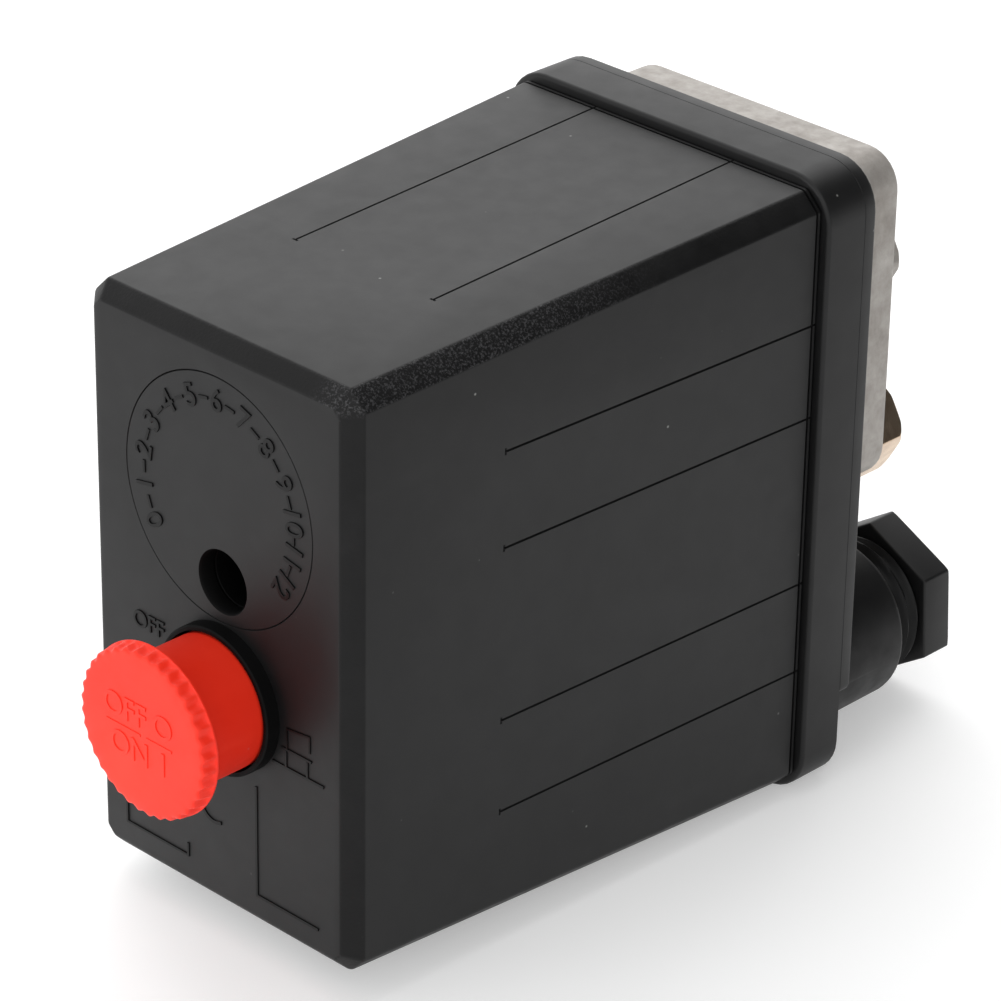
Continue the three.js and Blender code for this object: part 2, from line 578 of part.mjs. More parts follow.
// Moving contact bar with a silver button near each end.
function contactBridge() {
  const { halfX, sheet, halfZ, button, buttonX, buttonRise } = BRIDGE;
  const back = CARRIER.front - GAP;
  const buttons = [-buttonX, buttonX].map((x) =>
    barY(x, 0, button, back - sheet - buttonRise, back - sheet / 2, 16));
  return join(box(-halfX, halfX, back - sheet, back, -halfZ, halfZ), ...buttons);
}

// Brass strip: screw end on the block, contact button at the overhanging end.
function terminal() {
  const { width, sheet, bottom, top, screwZ, screwHole, button, buttonRise } = TERMINAL;
  const back = BLOCK.front - GAP;
  const strip = box(-width / 2, width / 2, back - sheet, back, bottom, top);
  return cut(join(strip, barY(0, CARRIER.z, button, back - sheet / 2, back + buttonRise, 16)),
    barY(0, screwZ, screwHole, back - sheet - PAST, back + PAST, 16));
}

// Terminal screw with its square clamping washer.
function terminalScrew() {
  const { headDepth, washer, washerDepth } = TERMINAL_SCREW;
  const seat = BLOCK.front - GAP - TERMINAL.sheet - GAP;
  return join(slottedScrew(TERMINAL_SCREW, seat - headDepth),
    box(-washer / 2, washer / 2, seat - washerDepth, seat, -washer / 2, washer / 2));
}

function contactBlock() {
  const { front, back, zTop, zBottom, halfX, barrier, barrierWall, barrierX, legWidth, legBottom } = BLOCK;
  const slab = box(-halfX, halfX, front, back, zBottom, zTop);
  const barriers = barrierX.map((x) =>
    box(x - barrierWall / 2, x + barrierWall / 2, front - barrier, front + PAST, zBottom, zTop - legWidth));
  const legs = [-halfX, halfX - legWidth].map((x) =>
    box(x, x + legWidth, back - PAST, TRAY.front - GAP, legBottom, zTop));
  const screwHoles = TERMINAL.x.map((x) =>
    barY(x, TERMINAL.screwZ, TERMINAL_SCREW.shank + GAP, front - PAST, TERMINAL_SCREW.tip + PAST, 12));
  return cut(join(slab, ...barriers, ...legs), ...screwHoles);
}

function earthScrew() {
  const seat = FRAME.floor - GAP;
  const { headDepth, washer, washerDepth } = EARTH_SCREW;
  return join(slottedScrew(EARTH_SCREW, seat - washerDepth - headDepth),
    barY(0, 0, washer, seat - washerDepth, seat, 20));
}

// ---------------------------------------------------------------- assembly
const base = new THREE.Group();
add(base, 'base_housing', baseHousing(), BLACK_PLASTIC);
add(base, 'port_plate', portPlate(), CAST_METAL);
platePlaces().forEach(([x, z], i) => add(base, `plate_screw_${i + 1}`, plateScrew(), STEEL, [x, 0, z]));
add(base, 'diaphragm', diaphragm(), RUBBER, [0, 0, PLATE.z]);
for (const [side, x] of [['left', -GLAND.x], ['right', GLAND.x]]) {
  add(base, `gland_nut_${side}`, glandNut(), BLACK_PLASTIC, [x, 0, GLAND.z]);
  add(base, `gland_seal_${side}`, glandSeal(), RUBBER, [x, 0, GLAND.z]);
}
add(base, 'unloader_body', unloaderBody(), BRASS, [UNLOADER.x, 0, UNLOADER.z]);
add(base, 'unloader_nut', unloaderNut(), BRASS, [UNLOADER.x, 0, UNLOADER.z]);
add(base, 'unloader_pin', unloaderPin(), STEEL, [UNLOADER.x, 0, UNLOADER.z]);

const mechanism = new THREE.Group();
add(mechanism, 'frame_bracket', frameBracket(), STEEL);
add(mechanism, 'cover_nut', coverNut(), STEEL, [WELL.x, 0, WELL.z]);
add(mechanism, 'plunger', plunger(), BRASS, [0, 0, PLATE.z]);
add(mechanism, 'rocker', rocker(), STEEL);
add(mechanism, 'rocker_pin', pin(ROCKER.pin, ROCKER.pinReach), STEEL, [0, ROCKER.y, ROCKER.z]);
add(mechanism, 'range_screw', rangeScrew(), STEEL, [0, 0, SPRING.z]);
add(mechanism, 'spring_nut', springNut(), STEEL, [0, 0, SPRING.z]);
add(mechanism, 'range_spring', rangeSpring(), STEEL, [0, 0, SPRING.z]);
add(mechanism, 'trip_lever', tripLever(), STEEL);
add(mechanism, 'trip_pin', pin(TRIP.pin, TRIP.pinReach), STEEL, [0, TRIP.y, TRIP.z]);
add(mechanism, 'earth_screw', earthScrew(), BRASS, [0, 0, EARTH_SCREW.z]);

const contacts = new THREE.Group();
add(contacts, 'contact_block', contactBlock(), BAKELITE);
TERMINAL.x.forEach((x, i) => add(contacts, `terminal_${i + 1}`, terminal(), BRASS, [x, 0, 0]));
TERMINAL.x.forEach((x, i) =>
  add(contacts, `terminal_screw_${i + 1}`, terminalScrew(), STEEL, [x, 0, TERMINAL.screwZ]));
add(contacts, 'contact_carrier', contactCarrier(), BAKELITE, [0, 0, CARRIER.z]);
add(contacts, 'contact_bridge_left', contactBridge(), BRASS, [-BRIDGE.x, 0, CARRIER.z]);
add(contacts, 'contact_bridge_right', contactBridge(), BRASS, [BRIDGE.x, 0, CARRIER.z]);

const cover = new THREE.Group();
add(cover, 'cover', coverShell(), BLACK_PLASTIC);
add(cover, 'screw_sleeve', screwSleeve(), BLACK_PLASTIC, [WELL.x, 0, WELL.z]);
add(cover, 'cover_screw', coverScrew(), STEEL, [WELL.x, 0, WELL.z]);
add(cover, 'knob', knobBody(), RED_PLASTIC, [KNOB.x, 0, KNOB.z]);
add(cover, 'knob_clip', knobClip(), STEEL, [KNOB.x, 0, KNOB.z]);

assembly.add(base, mechanism, contacts, cover);
assembly.position.set(0, -(KNOB.face + GLAND.nutBack) / 2, FLANGE.halfZ);

export default assembly;
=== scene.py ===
"""Looks of the push-pull pressure switch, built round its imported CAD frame. Lengths here are in mm, in the local
frame of the part: X across, Y from the front face back to the pipe port, Z up from the middle of the cover."""

import math

import bmesh
import bpy
from mathutils import Matrix, Vector


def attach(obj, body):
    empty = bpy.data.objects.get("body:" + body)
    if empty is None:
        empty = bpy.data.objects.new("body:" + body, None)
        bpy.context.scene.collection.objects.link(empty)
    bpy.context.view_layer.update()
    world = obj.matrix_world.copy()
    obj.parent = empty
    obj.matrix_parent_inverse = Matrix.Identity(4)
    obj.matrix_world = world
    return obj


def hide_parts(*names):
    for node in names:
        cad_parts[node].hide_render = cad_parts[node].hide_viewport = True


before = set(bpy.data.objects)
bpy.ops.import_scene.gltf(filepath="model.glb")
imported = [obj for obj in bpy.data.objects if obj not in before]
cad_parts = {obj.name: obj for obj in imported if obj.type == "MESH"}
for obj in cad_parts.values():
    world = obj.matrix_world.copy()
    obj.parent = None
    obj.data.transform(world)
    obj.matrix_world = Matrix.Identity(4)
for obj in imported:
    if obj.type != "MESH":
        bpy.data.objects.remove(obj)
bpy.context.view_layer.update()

MM = 0.001
KNOB_FACE, NUT_BACK, FLANGE_HALF_Z = -13.2, 108.3, 42.6
ORIGIN = Vector((0, -(KNOB_FACE + NUT_BACK) / 2, FLANGE_HALF_Z))  # local origin in the row frame, mm

PAST = 1  # how far a cutter reaches past the face that it cuts, mm
SEAM = 0.02  # gap between two rings that make a sharp step, mm
CHAMFER_TRIM = 2 - math.sqrt(2)  # how much shorter a chamfer gets per mm of inset

COVER = {"half_x": 22.55, "half_z": 38.15, "depth": 75.0, "draft": 0.0415, "corner": 2.3, "band": 2.0, "wall": 2.2,
         "edge": 0.32}
FLANGE = {"half_x": 26.9, "half_z": FLANGE_HALF_Z, "radius": 6.0, "front": 75.0, "back": 81.67, "edge": 0.55,
          "back_edge": 0.04}
FLANGE_LINES = ((73.95, 74.3, 0.4), (74.65, 75.3, 0.6))  # fine grooves before the flange: y from, y to, depth
GROOVE = {"width": 0.32, "depth": 0.28, "start": 23.5, "tick": 0.45, "side_z": (-24.05, -11.5, 11.5, 24.05),
          "top_x": (-11.5, 11.5)}
DIAL = {"x": 0.4, "z": 17.5, "radius": 15.8, "line": 0.2, "text": 12.7, "height": 2.95, "sweep": 121, "numbers": 12,
        "dash": 0.62, "dash_width": 0.38}
MARKS = {"rise": 0.14, "root": 0.1, "off": (-12.1, -3.7), "off_height": 2.3, "arc": (-1.0, -23.9, 2.3),
         "arc_width": 0.45}
MARK_LINES = (  # raised lines on the front face: width, then (x, z) points
    (0.35, [(6.4, -18.3), (6.4, -33.2), (16.8, -33.2)]),
    (0.35, [(9.4, -13.3), (17.8, -13.3)]),
    (0.3, [(11.6, -12.95), (11.6, -11.15)]),
    (0.3, [(15.2, -12.95), (15.2, -11.15)]),
    (0.3, [(11.0, -10.8), (15.8, -10.8)]),
    (0.26, [(11.8, -10.47), (11.8, -8.0), (15.6, -7.6), (15.6, -9.6)]),
    (0.3, [(-16.8, -30.4), (-16.8, -33.0), (-5.8, -33.0), (-5.8, -31.4)]),
)
FONT = {"size_per_height": 1.38, "edge": 0.03, "weight": 0.015}
KNOB = {"x": 1.0, "z": -8.1, "cap": 10.9, "depth": 2.4, "stem": 8.55, "flutes": 36, "play": 0.35, "collar": 2.0,
        "collar_wall": 0.6, "collar_edge": 0.2, "boss_wall": 0.9, "boss_length": 2.8, "inset": 0.15}
WELL = {"x": 1.0, "z": 7.05, "radius": 3.95}
TRAY = {"front": 81.7, "back": 83.7, "rim_front": 78.2, "rim_wall": 1.6, "rim_gap": 0.35, "lip_bottom": -30.0,
        "lip_corner": 1.2, "foot_x": 24.3, "foot_bottom": -40.6, "foot_top": -20.0, "edge": 0.3,
        "plunger_hole": 9.3}
GLAND = {"x": 13.25, "z": -29.5, "spout": 11.1, "spout_end": 97.5, "thread": 8.3, "end": 106.0, "bore": 6.5,
         "neck": 9.4, "neck_pitch": 1.8, "thread_pitch": 1.2, "thread_depth": 0.85, "thread_play": 0.35,
         "nut_front": 103.2, "flats": 19.2, "crown": 12.4, "turn": 0.06, "cable": 5.2}
PLATE = {"half_x": 22.4, "front": 84.0, "back": 93.6, "z": 17.4, "half_z": 22.4, "radius": 4.9, "edge": 0.9,
         "screw": 16.1, "screw_hole": 2.3, "screw_head": 3.7, "diaphragm": 16.3, "diaphragm_depth": 1.5,
         "chamber": 12.0, "chamber_depth": 4.5}
PORT = {"flats": 21.0, "end": 107.9, "edge": 0.4, "bore": 5.7, "mouth": 1.1, "collar": 13.5}
UNLOADER = {"x": 8.5, "z": -5.4, "ear": 7.6, "nut_front": 97.8, "nut_back": 106.3, "nut_flats": 12.1, "nose": 4.5,
            "nose_end": 103.3, "tube": 3.0, "seat": 4.3, "seat_front": 86.7, "pin_hole": 1.6, "pin_hole_end": 88.0}


def at(x, y, z):
    """A local point in mm as a row-frame point in metres."""
    return (Vector((x, y, z)) + ORIGIN) * MM


# ---------------------------------------------------------------- mesh tools
def new_object(name, mesh, *materials):
    piece = bpy.data.objects.new(name, mesh)
    bpy.context.scene.collection.objects.link(piece)
    for material in materials:
        mesh.materials.append(material)
    return piece


def from_bmesh(name, bm, *materials):
    bmesh.ops.recalc_face_normals(bm, faces=bm.faces)
    mesh = bpy.data.meshes.new(name)
    bm.to_mesh(mesh)
    bm.free()
    return new_object(name, mesh, *materials)


def skin(rings, closed=False):
    """Faces through rings of points; the ends are capped, or the last ring joins the first if closed."""
    bm = bmesh.new()
    rows = [[bm.verts.new(point) for point in ring] for ring in rings]
    count = len(rows[0])
    pairs = list(zip(rows, rows[1:])) + ([(rows[-1], rows[0])] if closed else [])
    for near, far in pairs:
        for i in range(count):
            j = (i + 1) % count
            bm.faces.new((near[i], near[j], far[j], far[i]))
    if not closed:
        bm.faces.new(rows[0])
        bm.faces.new(rows[-1])
    return bm


def outline_at(y, outline):
    return [at(x, y, z) for x, z in outline]


def chamfered(half_x, half_z, corner):
    quarter = [(half_x, half_z - corner), (half_x - corner, half_z)]
    return (quarter + [(-x, z) for x, z in reversed(quarter)] + [(-x, -z) for x, z in quarter]
            + [(x, -z) for x, z in reversed(quarter)])


def rounded(half_x, half_z, radius, middle=0.0, steps=8, low=None):
    """Rounded rectangle; low is the radius of the two lower corners if it differs."""
    points = []
    for quarter, (sx, sz) in enumerate([(1, 1), (-1, 1), (-1, -1), (1, -1)]):
        bend = radius if sz > 0 or low is None else low
        for i in range(steps + 1):
            angle = (quarter + i / steps) * math.pi / 2
            points.append((sx * (half_x - bend) + bend * math.cos(angle),
                           middle + sz * (half_z - bend) + bend * math.sin(angle)))
    return points


def circle(x, z, radius, sides, turn=0.0):
    step = 2 * math.pi / sides
    return [(x + radius * math.cos(turn + i * step), z + radius * math.sin(turn + i * step)) for i in range(sides)]


def bar(x, z, radius, y0, y1, sides=48, turn=0.0):
    """A round or polygonal bar along Y as a mesh object."""
    outline = circle(x, z, radius, sides, turn)
    return from_bmesh("bar", skin([outline_at(y0, outline), outline_at(y1, outline)]))


def hexagon(x, z, flats, y0, y1, turn=0.0):
    return bar(x, z, flats / math.sqrt(3), y0, y1, 6, turn)


def block(x0, x1, y0, y1, z0, z1):
    outline = [(x0, z0), (x1, z0), (x1, z1), (x0, z1)]
    return from_bmesh("block", skin([outline_at(y0, outline), outline_at(y1, outline)]))


def turned(x, z, profile, sides=64):
    """A body of revolution about the Y line through (x, z); profile is (radius, y) pairs, front to back."""
    return from_bmesh("turned", skin([outline_at(y, circle(x, z, radius, sides)) for radius, y in profile]))


def bake(piece):
    """Applies a piece's modifiers to its mesh."""
    graph = bpy.context.evaluated_depsgraph_get()
    mesh = bpy.data.meshes.new_from_object(piece.evaluated_get(graph))
    piece.modifiers.clear()
    piece.data = mesh
    return piece


def bevel(piece, width, segments=3, angle=25):
    modifier = piece.modifiers.new("bevel", "BEVEL")
    modifier.width = width * MM
    modifier.segments = segments
    modifier.limit_method = "ANGLE"
    modifier.angle_limit = math.radians(angle)
    modifier.use_clamp_overlap = True
    return bake(piece)


def combine(piece, operation, *tools):
    """Joins the tools to the piece, or cuts them from it, and removes them."""
    for tool in tools:
        modifier = piece.modifiers.new("solid", "BOOLEAN")
        modifier.operation = operation
        modifier.solver = "EXACT"
        modifier.object = tool
    bake(piece)
    for tool in tools:
        bpy.data.objects.remove(tool)
    return piece


def coated(piece, *materials):
    """Makes a tool leave the last of the materials on the piece that it joins or cuts."""
    for material in materials:
        piece.data.materials.append(material)
    piece.data.polygons.foreach_set("material_index", [len(materials) - 1] * len(piece.data.polygons))
    return piece


def smooth(piece, angle=32):
    mesh = piece.data
    mesh.polygons.foreach_set("use_smooth", [True] * len(mesh.polygons))
    mesh.set_sharp_from_angle(angle=math.radians(angle))
    return piece


def merge(name, pieces, *materials):
    """One object out of several separate shells."""
    bm = bmesh.new()
    for piece in pieces:
        bm.from_mesh(piece.data)
        bpy.data.objects.remove(piece)
    mesh = bpy.data.meshes.new(name)
    bm.to_mesh(mesh)
    bm.free()
    return new_object(name, mesh, *materials)


def settle(piece, body, slot, *replaced):
    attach(piece, body)
    if replaced:
        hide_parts(*replaced)
    return piece


# ---------------------------------------------------------------- materials
class Look:
    """A procedural material on the object's own coordinates, so it stays put on a moving piece."""

    def __init__(self, name, **shader):
        self.material = bpy.data.materials.new(name)
        self.material.use_nodes = True
        self.tree = self.material.node_tree
        self.shader = self.tree.nodes["Principled BSDF"]
        self.place = self.add("ShaderNodeTexCoord").outputs["Object"]
        self.height = None
        for socket, value in shader.items():
            self.shader.inputs[socket.replace("_", " ")].default_value = value

    def add(self, kind, **settings):
        node = self.tree.nodes.new(kind)
        for key, value in settings.items():
            setattr(node, key, value)
        return node

    def link(self, source, target):
        self.tree.links.new(source, target)

    def stretched(self, factors):
        mapping = self.add("ShaderNodeMapping")
        mapping.inputs["Scale"].default_value = factors
        self.link(self.place, mapping.inputs["Vector"])
        return mapping.outputs["Vector"]

    def noise(self, grain, detail=3.0, rough=0.55, place=None):
        """Noise whose features are about grain mm across."""
        node = self.add("ShaderNodeTexNoise")
        node.inputs["Scale"].default_value = 1 / (grain * MM)
        node.inputs["Detail"].default_value = detail
        node.inputs["Roughness"].default_value = rough
        self.link(place or self.place, node.inputs["Vector"])
        return node.outputs["Fac"]

    def spots(self, grain, size):
        """1 in small round spots, about one per grain mm, and 0 elsewhere."""
        node = self.add("ShaderNodeTexVoronoi")
        node.inputs["Scale"].default_value = 1 / (grain * MM)
        self.link(self.place, node.inputs["Vector"])
        return self.ramp(node.outputs["Distance"], (0.0, 1.0), (size, 0.0))

    def fade(self, axis, near, far):
        """0 at the local coordinate near and 1 at far, along one axis."""
        split = self.add("ShaderNodeSeparateXYZ")
        self.link(self.place, split.inputs[0])
        node = self.add("ShaderNodeMapRange", interpolation_type="SMOOTHSTEP")
        self.link(split.outputs[axis], node.inputs["Value"])
        shift = ORIGIN["XYZ".index(axis)]
        for socket, value in (("From Min", (near + shift) * MM), ("From Max", (far + shift) * MM),
                              ("To Min", 0.0), ("To Max", 1.0)):
            node.inputs[socket].default_value = value
        return node.outputs["Result"]

    def ramp(self, factor, *stops):
        node = self.add("ShaderNodeValToRGB")
        elements = node.color_ramp.elements
        for i, (place, value) in enumerate(stops):
            element = elements[i] if i < 2 else elements.new(place)
            element.position = place
            element.color = (*value, 1) if isinstance(value, tuple) else (value, value, value, 1)
        self.link(factor, node.inputs["Fac"])
        return node.outputs["Color"]

    def times(self, one, other):
        node = self.add("ShaderNodeMath", operation="MULTIPLY")
        for source, socket in ((one, node.inputs[0]), (other, node.inputs[1])):
            if isinstance(source, (int, float)):
                socket.default_value = source
            else:
                self.link(source, socket)
        return node.outputs[0]

    def mix(self, factor, under, over):
        node = self.add("ShaderNodeMix", data_type="RGBA")
        colours = [s for s in node.inputs if s.type == "RGBA"]
        self.link(factor, node.inputs["Factor"])
        for source, socket in ((under, colours[0]), (over, colours[1])):
            if isinstance(source, tuple):
                socket.default_value = (*source, 1)
            else:
                self.link(source, socket)
        return next(s for s in node.outputs if s.type == "RGBA")

    def colour(self, source):
        self.link(source, self.shader.inputs["Base Color"])

    def rough(self, source):
        self.link(source, self.shader.inputs["Roughness"])

    def bump(self, height, depth, strength=1.0):
        """Adds relief of about depth mm on top of what is there."""
        node = self.add("ShaderNodeBump")
        node.inputs["Strength"].default_value = strength
        node.inputs["Distance"].default_value = depth * MM
        self.link(height, node.inputs["Height"])
        if self.height:
            self.link(self.height, node.inputs["Normal"])
        self.height = node.outputs["Normal"]
        self.link(self.height, self.shader.inputs["Normal"])


# where the painted glints fade in on the upper right edge: axis, from, to
GLINT_ZONE = (("X", 15, 19), ("Y", 52, 28), ("Z", 35, 36.4))  # where the speckle fades in: axis, from, to


def moulded(name, dark, light, roughness, grain, grain_depth, specular, dust=0.0, painted_glint=None):
    """Moulded plastic: cloudy colour between dark and light, rubbed patches, faint sink marks and fine grain.
    dust is the strength of pale specks; the last argument is the colour of painted glints, bright specks painted on
    the upper right edge where light catches the coarse grain."""
    look = Look(name, IOR=1.5, Specular_IOR_Level=specular)
    cloud = look.noise(14, detail=4)
    base = look.ramp(cloud, (0.35, dark), (0.68, light))
    rub = look.ramp(look.noise(5, place=look.stretched((1, 0.25, 1))), (0.62, 0.0), (0.78, 1.0))
    base = look.mix(look.times(rub, 0.35), base, tuple(min(1.0, c * 1.35 + 0.004) for c in light))
    if dust:
        specks = look.times(look.spots(4.5, 0.05), look.ramp(look.noise(22), (0.52, 0.0), (0.6, 1.0)))
        base = look.mix(look.times(specks, dust), base, (0.42, 0.42, 0.40))
    if painted_glint:
        # painted glints: bright specks of colour that stand in for light caught by the grain
        glints = look.ramp(look.noise(0.3, detail=2, rough=0.8), (0.50, 0.0), (0.66, 1.0))
        for axis, near, far in GLINT_ZONE:
            glints = look.times(glints, look.fade(axis, near, far))
        base = look.mix(glints, base, painted_glint)
    look.colour(base)
    low, high = roughness
    look.rough(look.ramp(look.noise(3.2, detail=5), (0.3, low), (0.7, high)))
    look.bump(look.noise(24, detail=1), 0.05, 0.35)
    look.bump(look.noise(grain, detail=2), grain_depth, 0.8)
    return look.material


def cast_alloy():
    """Die-cast alloy: warm matt grey, mottled, with pits and a rough skin."""
    look = Look("cast_alloy", Metallic=0.45, Specular_IOR_Level=0.4)
    mottle = look.ramp(look.noise(3.0, detail=6, rough=0.65),
                       (0.30, (0.285, 0.262, 0.240)), (0.52, (0.365, 0.342, 0.317)), (0.75, (0.45, 0.428, 0.402)))
    stain = look.ramp(look.noise(9, detail=2), (0.55, 0.0), (0.75, 1.0))
    look.colour(look.mix(look.times(stain, 0.35), mottle, (0.26, 0.234, 0.203)))
    look.rough(look.ramp(look.noise(1.4, detail=4), (0.3, 0.48), (0.7, 0.68)))
    look.bump(look.noise(2.6, detail=4), 0.05, 0.5)
    look.bump(look.noise(0.5, detail=3), 0.02, 0.7)
    look.bump(look.spots(2.2, 0.14), -0.05, 0.6)
    return look.material


def metal(name, dark, light, tarnish, roughness, streak=(1, 1, 1)):
    """Plated or bare metal: two tones, tarnish in patches, fine tool marks along the streak."""
    look = Look(name, Metallic=1.0)
    tone = look.ramp(look.noise(2.5, detail=5), (0.32, dark), (0.7, light))
    patch = look.ramp(look.noise(4, detail=6, rough=0.7), (0.56, 0.0), (0.74, 1.0))
    look.colour(look.mix(look.times(patch, 0.6), tone, tarnish))
    low, high = roughness
    look.rough(look.ramp(look.noise(1.1, detail=4), (0.3, low), (0.7, high)))
    look.bump(look.noise(0.25, detail=2, place=look.stretched(streak)), 0.004, 0.35)
    return look.material


BLACK = moulded("black_plastic", (0.0034, 0.0034, 0.0036), (0.0054, 0.0054, 0.0057), roughness=(0.46, 0.51),
                grain=0.28, grain_depth=0.004, specular=0.32, dust=0.9)
# darker copy of the black plastic with coarser grain: real grain plus painted shade on the front band and the four
# long chamfers, with painted glints on the upper right edge
BLACK_GRAIN_AND_SHADE = moulded("black_plastic_grain_and_painted_shade", (0.0026, 0.0026, 0.0028), (0.0044, 0.0044, 0.0046),
                      roughness=(0.42, 0.56), grain=0.42, grain_depth=0.05, specular=0.22, dust=0.3,
                      painted_glint=(0.05, 0.05, 0.052))
# much darker copy of the black plastic, used as painted shade in the screw well, the knob bore and collar, and on
# the screw sleeve
BLACK_SHADE = moulded("black_plastic_painted_shade", (0.0012, 0.0012, 0.0013), (0.0022, 0.0022, 0.0023), roughness=(0.55, 0.7),
                     grain=0.3, grain_depth=0.004, specular=0.1)
BLACK_MATT = moulded("black_plastic_base", (0.0030, 0.0030, 0.0032), (0.0052, 0.0052, 0.0054),
                     roughness=(0.42, 0.56), grain=0.3, grain_depth=0.006, specular=0.19, dust=0.5)
# darker and glossier than the cover: painted shade along the raised marks
MARK = moulded("black_plastic_mark_painted_shade", (0.0015, 0.0015, 0.0016), (0.0025, 0.0025, 0.0026), roughness=(0.3, 0.42),
               grain=0.25, grain_depth=0.003, specular=0.2)
RED = moulded("red_plastic", (0.90, 0.026, 0.009), (0.97, 0.036, 0.014), roughness=(0.38, 0.5), grain=0.35,
              grain_depth=0.004, specular=0.3, dust=0.5)
BROWN = moulded("moulding_brown", (0.050, 0.022, 0.012), (0.085, 0.038, 0.022), roughness=(0.3, 0.45), grain=0.6,
                grain_depth=0.006, specular=0.5)
RUBBER = moulded("rubber", (0.010, 0.010, 0.010), (0.020, 0.019, 0.018), roughness=(0.68, 0.85), grain=0.4,
                 grain_depth=0.02, specular=0.3)
CAST = cast_alloy()
STEEL = metal("zinc_steel", (0.50, 0.51, 0.52), (0.66, 0.66, 0.66), tarnish=(0.42, 0.40, 0.35),
              roughness=(0.24, 0.42), streak=(1, 6, 1))
SPRING = metal("spring_steel", (0.28, 0.28, 0.29), (0.40, 0.40, 0.41), tarnish=(0.20, 0.17, 0.14),
               roughness=(0.22, 0.36))
BRASS = metal("brass", (0.50, 0.365, 0.25), (0.68, 0.53, 0.39), tarnish=(0.32, 0.20, 0.11), roughness=(0.14, 0.26),
              streak=(1, 8, 1))


# ---------------------------------------------------------------- cover
# plain black; darker grained black with painted shade and painted glints for the front band and chamfers; much
# darker black as painted shade for the holes, collar and boss
COVER_COATS = (BLACK, BLACK_GRAIN_AND_SHADE, BLACK_SHADE)


def cover_half(y):
    return COVER["half_x"] + COVER["draft"] * y, COVER["half_z"] + COVER["draft"] * y


def cover_ring(y, section_y, inset, corner):
    half_x, half_z = cover_half(section_y)
    return outline_at(y, chamfered(half_x - inset, half_z - inset, corner))


def cover_body():
    band, corner = COVER["band"], COVER["corner"]
    back = FLANGE["front"] + 2 * PAST
    bm = skin([
        cover_ring(0, band, band, corner - band * CHAMFER_TRIM),
        cover_ring(band, band, 0, corner),
        cover_ring(back, back, 0, corner),
    ])
    bm.faces.ensure_lookup_table()
    sides = 8
    grained_and_shaded = COVER_COATS.index(BLACK_GRAIN_AND_SHADE)
    # the front band and the four long chamfers take the darker grained black: coarse grain plus painted shade
    for i in list(range(sides)) + list(range(sides, 2 * sides, 2)):
        bm.faces[i].material_index = grained_and_shaded  # the front band and the four long chamfers
    return bevel(from_bmesh("cover_shell", bm, *COVER_COATS), COVER["edge"], 3)


def flange_ring():
    """The flange, with a rounded front edge and a hairline chamfer at the back."""
    front, back, edge, back_edge = (FLANGE[key] for key in ("front", "back", "edge", "back_edge"))
    steps = 5
    profile = []
    for i in range(steps + 1):
        angle = i / steps * math.pi / 2
        profile.append((front + edge * (1 - math.cos(angle)), edge * (1 - math.sin(angle))))
    profile += [(back - back_edge, 0), (back, back_edge)]
    return from_bmesh("flange", skin([
        outline_at(y, rounded(FLANGE["half_x"] - inset, FLANGE["half_z"] - inset, FLANGE["radius"] - inset))
        for y, inset in profile
    ]))


def flange_lines():
    """Square grooves round the cover just before the flange."""
    tools = []
    for y0, y1, depth in FLANGE_LINES:
        rings = [cover_ring(y, COVER["depth"], inset, COVER["corner"] - inset * CHAMFER_TRIM)
                 for y, inset in ((y0, depth), (y1, depth), (y1, -PAST), (y0, -PAST))]
        tools.append(from_bmesh("line", skin(rings, closed=True)))
    return tools


def groove_tools():
    """V-shaped cutters that follow the draft of the sides, top and bottom, each with a short tick at its start."""
    width, depth, start, tick = GROOVE["width"], GROOVE["depth"], GROOVE["start"], GROOVE["tick"]
    vee, ends = ((-depth, 0), (depth, -width), (depth, width)), (start, COVER["depth"])
    tools = []
    for side in (-1, 1):
        for z in GROOVE["side_z"]:
            tools.append(skin([[at(side * (cover_half(y)[0] + r), y, z + w) for r, w in vee] for y in ends]))
            tools.append(skin([[at(side * (cover_half(start)[0] + r), start + w, z + t) for r, w in vee]
                               for t in (-tick, tick)]))
        for x in GROOVE["top_x"]:
            tools.append(skin([[at(x + w, y, side * (cover_half(y)[1] + r)) for r, w in vee] for y in ends]))
            tools.append(skin([[at(x + t, start + w, side * (cover_half(start)[1] + r)) for r, w in vee]
                               for t in (-tick, tick)]))
    return [from_bmesh("groove", bm) for bm in tools]


def ring_groove(x, z, radius, width, depth):
    """V-shaped ring cutter on the front face."""
    rings = [outline_at(y, circle(x, z, r, 128)) for r, y in
             ((radius, depth), (radius - width, -depth), (radius + width, -depth))]
    return from_bmesh("ring", skin(rings, closed=True))


